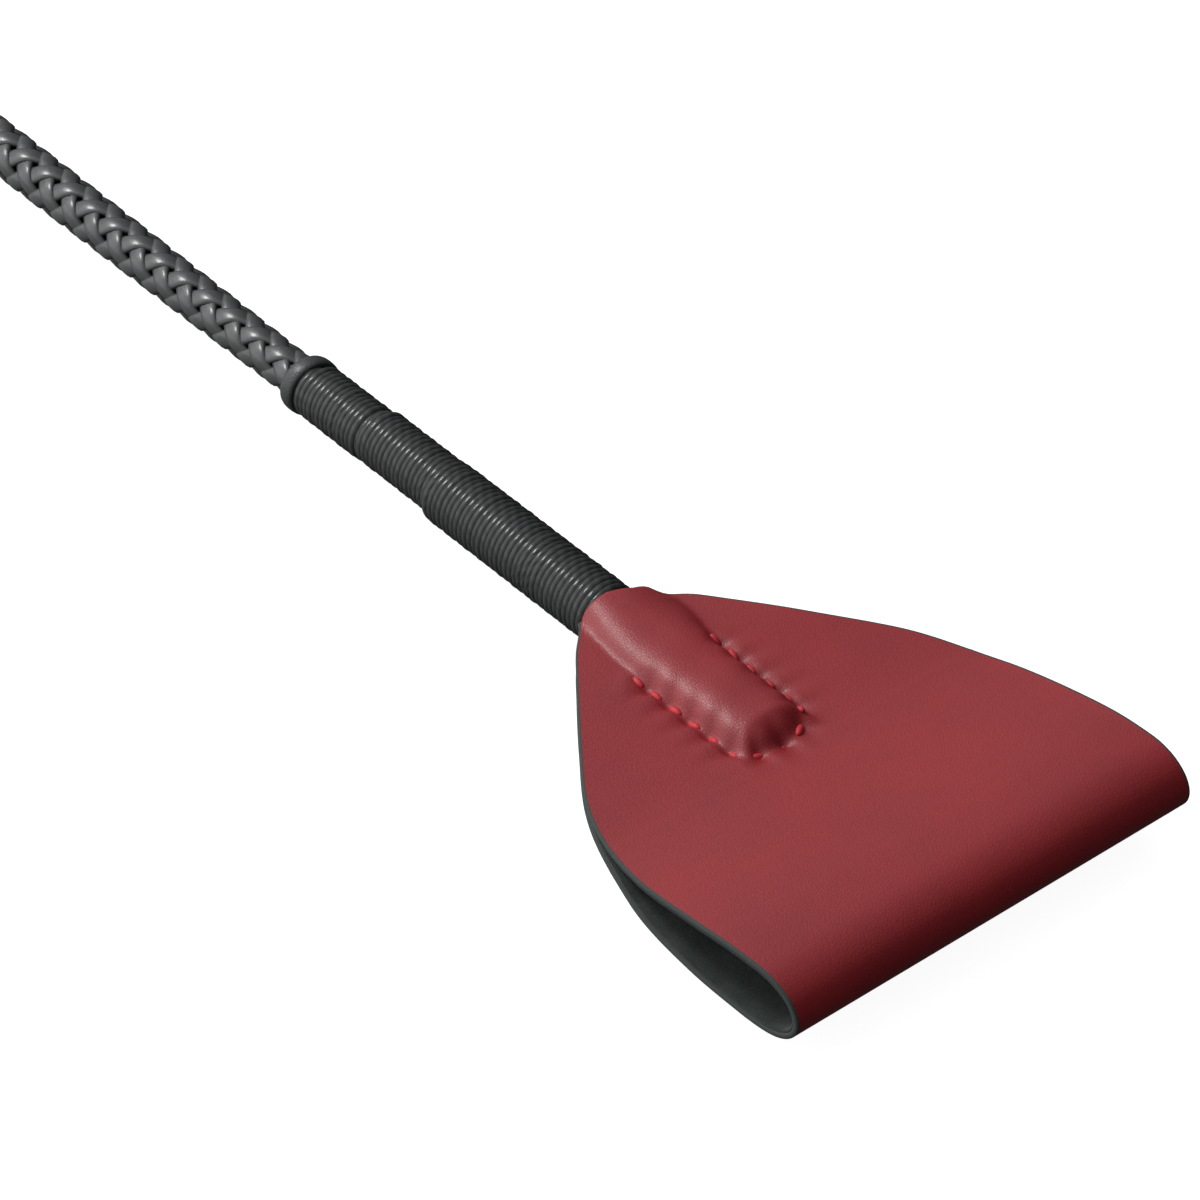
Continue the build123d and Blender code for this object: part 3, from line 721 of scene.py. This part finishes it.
def columns_at(width):
    """Places across the strip: closely spaced over the pocket, wider towards the edges."""
    fine = min(FINE_HALF, 0.84 * width)
    inner = np.linspace(-fine, fine, 53)
    outer = fine + (width - EDGE_PAINT - fine) * (np.linspace(0, 1, 15)[1:] ** 0.92)
    outer = np.concatenate([outer, [width - 0.75 * EDGE_PAINT, width]])
    return np.concatenate([-outer[::-1], inner, outer])


def keeper_face():
    """The outer face as an array of rows, columns and xyz, with the rows closest together over the seam."""
    leaf_rows = np.concatenate([np.arange(MOUTH, 15.5, 0.8), np.arange(15.5, 54, 0.55),
                                np.linspace(54, FOLD_CENTRE[0], 32)])
    rows = []
    for x in leaf_rows:
        y = columns_at(float(half_width(x)))
        rows.append(np.stack([np.full_like(y, x), y, leaf_height(np.full_like(y, x), y, 1)], -1))
    for angle in np.linspace(math.pi / 2, -math.pi / 2, 27)[1:-1]:
        x = FOLD_CENTRE[0] + FOLD_LONG * math.cos(angle)
        y = columns_at(float(half_width(x)))
        z = FOLD_CENTRE[1] + FOLD_HIGH * math.sin(angle)
        rows.append(np.stack([np.full_like(y, x), y, np.full_like(y, z)], -1))
    for x in leaf_rows[::-1]:
        y = columns_at(float(half_width(x)))
        rows.append(np.stack([np.full_like(y, x), y, leaf_height(np.full_like(y, x), y, -1)], -1))
    face = np.array(rows)
    for _ in range(SMOOTHINGS):
        face[1:-1, :, 2] = face[1:-1, :, 2] * 0.5 + (face[:-2, :, 2] + face[2:, :, 2]) * 0.25
        face[:, 1:-1, 2] = face[:, 1:-1, 2] * 0.5 + (face[:, :-2, 2] + face[:, 2:, 2]) * 0.25
    slant = MOUTH_SLANT * np.clip((face[:, :, 1] + 1) / 5, 0, 1)
    face[:, :, 0] += slant * (1 - ease(face[:, :, 0], MOUTH, 9))
    return face


OUTER_FACE = keeper_face()
OUTER_NORMAL = unit(np.cross(np.gradient(OUTER_FACE, axis=0), np.gradient(OUTER_FACE, axis=1)))
print("strip grid:", OUTER_FACE.shape[:2])

# %% [markdown]
# A cut sheet has an edge that shows its layers. Each sheet is closed with a slightly rounded strip round
# its border, and the `cut` attribute is 1 there, so that the leather recipe can paint the core of the hide.

# %% Closed sheets from the grid


def sheet_piece(name, depth_out, depth_in, inset, material):
    """A closed sheet between two depths behind the keeper's outer face, its border drawn in by inset."""
    face, normal = OUTER_FACE.copy(), OUTER_NORMAL
    side = np.zeros_like(face)
    side[:, :, 1] = np.linspace(-1, 1, face.shape[1])[None]
    face = face - side * inset
    rows, columns = face.shape[:2]
    count = rows * columns
    top, low = ((face - normal * depth).reshape(-1, 3) for depth in (depth_out, depth_in))
    border = [(0, j) for j in range(columns)] + [(i, columns - 1) for i in range(1, rows)]
    border += [(rows - 1, j) for j in range(columns - 2, -1, -1)] + [(i, 0) for i in range(rows - 2, 0, -1)]
    out = np.zeros_like(face)
    out[:, 0, 1], out[:, -1, 1] = -1, 1
    out[0, :, 0], out[-1, :, 0] = -1, -1
    thick = depth_in - depth_out
    rim = []
    for share, swell in ((0.12, 0.1), (0.5, 0.2), (0.88, 0.1)):
        behind = face - normal * (depth_out + thick * share) + out * thick * swell
        rim.append(np.array([behind[i, j] for i, j in border]))
    points = np.concatenate([top, low] + rim)
    faces = []
    for i in range(rows - 1):
        for j in range(columns - 1):
            a = i * columns + j
            faces.append((a, a + columns, a + columns + 1, a + 1))
            faces.append((count + a, count + a + 1, count + a + columns + 1, count + a + columns))
    loop = len(border)
    flat = [i * columns + j for i, j in border]
    rings = [flat] + [[2 * count + k * loop + n for n in range(loop)] for k in range(3)]
    rings.append([count + f for f in flat])
    for above, below in zip(rings, rings[1:]):
        for n in range(loop):
            m = (n + 1) % loop
            faces.append((above[n], above[m], below[m], below[n]))
    on_face = np.zeros((rows, columns))
    on_face[:, :2] = on_face[:, -2:] = 1
    cut = np.concatenate([on_face.ravel(), on_face.ravel(), np.ones(3 * len(border))])
    made = finished(name, points, faces, material, {"cut": cut})
    return outwards(made)


hide = sheet_piece("keeper_leather", 0.0, KEEPER_HIDE, 0.0, RED_CALF)
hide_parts("keeper_upper", "keeper_lower", "keeper_flap")
lining = sheet_piece("keeper_lining", KEEPER_HIDE, KEEPER_HIDE + KEEPER_LINING, 0.25, NAPPED_SPLIT)
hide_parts("lining_upper", "lining_lower", "lining_flap")
for piece in (hide, lining):
    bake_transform(piece)

# %% [markdown]
# ## Stitches
# Every stitch is the same short arch of thread, so one is described and a Geometry Nodes tree sets it down
# along the seam at an even pitch, turned to follow it. A little random turn and size keeps them hand-made;
# the seed is fixed, so that they come out the same each time.

# %% Stitch tree
STITCH_LENGTH = 3.4
STITCH_THREAD = 1.6
STITCH_SEED = 11
stitch_tree, given = tree_with("stitches_along_seam", [("Pitch", "NodeSocketFloat", STITCH * MM),
                                                       ("Length", "NodeSocketFloat", STITCH_LENGTH * MM),
                                                       ("Thread", "NodeSocketFloat", STITCH_THREAD * MM),
                                                       ("Seed", "NodeSocketInt", STITCH_SEED),
                                                       ("Material", "NodeSocketMaterial", None)])
seam_line = node(stitch_tree, "GeometryNodeMeshToCurve", {0: given.outputs["Geometry"]})
places = node(stitch_tree, "GeometryNodeCurveToPoints", {"Curve": seam_line.outputs[0],
                                                         "Length": given.outputs["Pitch"]}, mode="LENGTH")
loop_of_thread = node(stitch_tree, "GeometryNodeMeshUVSphere", {"Segments": 10, "Rings": 8, "Radius": 0.5})
jitter = node(stitch_tree, "FunctionNodeRandomValue", {"Min": (-0.25, -0.08, -0.25),
                                                       "Max": (0.25, 0.08, 0.25),
                                                       "Seed": given.outputs["Seed"]},
              data_type="FLOAT_VECTOR")
turned = node(stitch_tree, "FunctionNodeAlignRotationToVector", {"Vector": places.outputs["Tangent"]},
              axis="X")
jittered = node(stitch_tree, "FunctionNodeRotateRotation", {"Rotation": turned.outputs[0],
                                                            "Rotate By": jitter.outputs[0]},
                rotation_space="LOCAL")
size = node(stitch_tree, "ShaderNodeCombineXYZ", {"X": given.outputs["Length"], "Y": given.outputs["Thread"],
                                                  "Z": given.outputs["Thread"]})
fullness = node(stitch_tree, "FunctionNodeRandomValue", {2: 0.85, 3: 1.12, "Seed": given.outputs["Seed"]},
                data_type="FLOAT")
scaled = node(stitch_tree, "ShaderNodeVectorMath", {0: size.outputs[0], "Scale": fullness.outputs[1]},
              operation="SCALE")
sewn = node(stitch_tree, "GeometryNodeInstanceOnPoints", {"Points": places.outputs["Points"],
                                                          "Instance": loop_of_thread.outputs[0],
                                                          "Rotation": jittered.outputs[0],
                                                          "Scale": scaled.outputs[0]})
real = node(stitch_tree, "GeometryNodeRealizeInstances", {0: sewn.outputs[0]})
smooth = node(stitch_tree, "GeometryNodeSetShadeSmooth", {0: real.outputs[0]})
dyed = node(stitch_tree, "GeometryNodeSetMaterial", {0: smooth.outputs[0],
                                                     "Material": given.outputs["Material"]})
node(stitch_tree, "NodeGroupOutput", {"Geometry": dyed.outputs[0]})

# %% Sew both faces


def seam_points(side):
    """The seam laid on the leaf's outer face, a point every millimetre or so."""
    points = []
    for (ax, ay), (bx, by) in SEAM:
        steps = max(2, int(math.hypot(bx - ax, by - ay)))
        for k in range(steps):
            points.append((ax + (bx - ax) * k / steps, ay + (by - ay) * k / steps))
    points.append(SEAM[-1][1])
    flat = np.array(points)
    height = leaf_height(flat[:, 0], flat[:, 1], side)
    return np.column_stack([flat, height - side * 0.2])


for side, name, node_name in ((1, "stitches_above", "upper_stitches"),
                              (-1, "stitches_below", "lower_stitches")):
    seam = seam_points(side)
    sewn = grown(name, seam, chain(len(seam)), stitch_tree,
                 {"Pitch": STITCH * MM, "Length": STITCH_LENGTH * MM, "Thread": STITCH_THREAD * MM,
                  "Seed": STITCH_SEED, "Material": RED_THREAD})
    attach(sewn, "crop")
    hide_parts(node_name)

# %% [markdown]
# ## The grip
# A strip of pebbled hide is wound from the cap forwards, each turn lapping the one before. The strip is
# swept along a helix with its face tipped a few degrees, so that the front edge rides on top.

# %% Wrapped grip
WRAP_STEP = 13.0
WRAP_RADIUS = 9.5
WRAP_LAP = 3.6
WRAP_THICK = 1.15
x = np.linspace(BUTT + 8, SHOULDER - 3, 900)
turn = (x - x[0]) / WRAP_STEP * 2 * math.pi
out = np.stack([np.zeros_like(x), np.cos(turn), np.sin(turn)], -1)
path = np.stack([x, WRAP_RADIUS * out[:, 1], WRAP_RADIUS * out[:, 2]], -1)
tipped = unit(out + np.array([-0.055, 0, 0]))
points, faces, _ = swept(path, tipped, WRAP_STEP + WRAP_LAP, WRAP_THICK, sides=18, power=5)
wrap = outwards(finished("wrapped_grip", points, faces, GRIP_HIDE))
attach(wrap, "crop")
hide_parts("grip_leather")

# %% [markdown]
# The metal cap keeps its CAD shape. A rolled bead where it meets the grip is what a spun cap has, so that
# its thin edge doesn't cut the leather: another small lathe job.

# %% Bead on the cap
bead_at = station("butt_cap", 1) - 1.2
around = np.linspace(0, 2 * math.pi, 14, endpoint=False)
bead_outline = [(bead_at + 1.1 * math.cos(a), 11.75 + 0.73 * math.sin(a)) for a in around]
bead = finished("cap_bead", *lathed(bead_outline, 96), NICKEL)
outwards(bead)
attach(bead, "crop")

# %% [markdown]
# ## The wrist loop
# One flat strap is folded double. Its ends go into the cap together, part after a sewn neck and swing round
# in an open curve. The strap's width stands upright, so it is swept along the loop with its broad face
# looking sideways.

# %% Strap
STRAP_THICK = 1.8
STRAP_WIDE = 10.0


def loop_line():
    """The strap's middle line from one end in the cap, out round the loop and back beside itself."""
    far = LOOP_END + 0.9
    knots = [(BUTT + 3.5, 0.93), (HINGE, 0.93), (HINGE - 8, 0.93), (HINGE - 16, 1.6), (HINGE - 34, 6.2),
             (HINGE - 62, 14.6), (HINGE - 92, 22.6), (far + 30, 25.9), (far + 14, 23.6), (far + 4, 15.2),
             (far, 0)]
    half = np.array(knots, float)
    whole = np.concatenate([half, (half[:-1] * [1, -1])[::-1]])
    steps = np.concatenate([[0], np.cumsum(np.linalg.norm(np.diff(whole, axis=0), axis=1))])
    walk = np.linspace(0, steps[-1], 260)
    line = np.column_stack([through(steps, whole[:, 0])(walk), through(steps, whole[:, 1])(walk)])
    return np.column_stack([line, np.zeros(len(line))])


line = loop_line()
tangent = unit(np.gradient(line, axis=0))
face_out = np.cross(tangent, [0, 0, 1.0])
points, faces, _ = swept(line, face_out, STRAP_WIDE, STRAP_THICK, sides=20, power=7)
strap = outwards(finished("wrist_strap", points, faces, STRAP_HIDE))
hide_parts("wrist_loop")
length = float(np.linalg.norm(np.diff(line, axis=0), axis=1).sum())
print(f"strap is {length:.0f} mm long")

# %% [markdown]
# Two rows of saddle stitch run along the strap's edges, set by the same tree as the keeper's stitches, and
# a few turns of cord bind the neck where the two sides part.

# %% Strap stitches and neck binding
STRAP_THREAD = twisted("black_saddle_thread", "#1d1f20", "#34383a", 0.5, 0.1, 1.2, 0.05)
STRAP_ROW = 3.6  # each row of stitches lies this far above or below the strap's middle
BARE_ENDS = 18  # points of the line that carry no stitches at each end
looks_in = -np.sign((line * unit(face_out)).sum(1).mean())
outer_side = line - unit(face_out) * (STRAP_THICK / 2 - 0.12) * looks_in
stitched = [(outer_side + [0, 0, level])[BARE_ENDS:-BARE_ENDS] for level in (-STRAP_ROW, STRAP_ROW)]
row_length = len(stitched[0])
edges = chain(row_length) + [(a + row_length, b + row_length) for a, b in chain(row_length)]
strap_stitches = grown("strap_stitches", np.concatenate(stitched), edges, stitch_tree,
                       {"Pitch": 3.2 * MM, "Length": 2.4 * MM, "Thread": 0.7 * MM, "Seed": 5,
                        "Material": STRAP_THREAD})
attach(strap_stitches, "loop")

NECK_TURNS = 6
NECK_CORD = 1.2
turn = np.linspace(0, NECK_TURNS, NECK_TURNS * 48)
corner = np.stack([np.cos(turn * 2 * math.pi), np.sin(turn * 2 * math.pi)], -1)
boxy = np.sign(corner) * np.abs(corner) ** 0.45 * [2.45, 5.6]
band = np.column_stack([HINGE - 6.5 - turn * NECK_CORD, boxy])
neck_binding = grown("strap_neck_binding", band, chain(len(band)), cord_tree,
                     {"Cord radius": NECK_CORD / 2 * MM, "Material": WAXED_CORD})
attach(neck_binding, "loop")
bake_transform(strap)

# %% [markdown]
# ## Floor and light
# The crop lies on a plain pale floor, which glows so that shadows stay very faint, and throws no light
# back up. Nearly all light comes from the left: a tall softbox draws the long gloss along the near side of
# every round piece, and the room behind it is bright on that side only, so that the far sides and the fold's
# front turn dark. A small lamp high up puts a thin line of light on the cord and the plait.

# %% Studio
floor_mesh = bpy.data.meshes.new("floor")
floor_mesh.from_pydata([(-6, -6, 0), (6, -6, 0), (6, 6, 0), (-6, 6, 0)], [], [(0, 1, 2, 3)])
floor = bpy.data.objects.new("floor", floor_mesh)
bpy.context.scene.collection.objects.link(floor)
FLOOR_PAPER, tree, shader = new_material("matt_paper", Base_Color=linear("#8c8c8c"), Roughness=0.9,
                                         Specular_IOR_Level=0.05, Emission_Color=linear("#ffffff"),
                                         Emission_Strength=0.93)
floor_mesh.materials.append(FLOOR_PAPER)
floor.visible_diffuse = False
floor.visible_glossy = False

world = bpy.data.worlds.new("studio")
world.use_nodes = True
sky = world.node_tree
direction = node(sky, "ShaderNodeTexCoord").outputs["Generated"]
facing = node(sky, "ShaderNodeVectorMath", {0: direction, 1: (-0.56, -0.6, 0.57)}, operation="DOT_PRODUCT")
level = node(sky, "ShaderNodeMapRange", {"Value": facing.outputs["Value"], "From Min": -0.3, "From Max": 0.95,
                                         "To Min": 0.05, "To Max": 1.2}, interpolation_type="SMOOTHSTEP")
background = sky.nodes["Background"]
background.inputs["Color"].default_value = linear("#ffffff")
sky.links.new(level.outputs["Result"], background.inputs["Strength"])
bpy.context.scene.world = world


def lamp(name, spot, aim, size, watts):
    """A square soft lamp at a spot, turned to its aim, both in millimetres from the neck."""
    data = bpy.data.lights.new(name, "AREA")
    data.size = size
    data.energy = watts
    made = bpy.data.objects.new(name, data)
    bpy.context.scene.collection.objects.link(made)
    start, end = Vector(place(spot)), Vector(place(aim))
    turned_to = (end - start).to_track_quat("-Z", "Y").to_matrix().to_4x4()
    made.matrix_world = Matrix.Translation(start) @ turned_to


lamp("left_softbox", (-760, -760, 330), (0, 0, 0), 1.0, 5.0)
lamp("high_spark", (-600, -230, 720), (-40, 0, 0), 0.24, 8.0)
bpy.context.scene.view_settings.view_transform = "Standard"
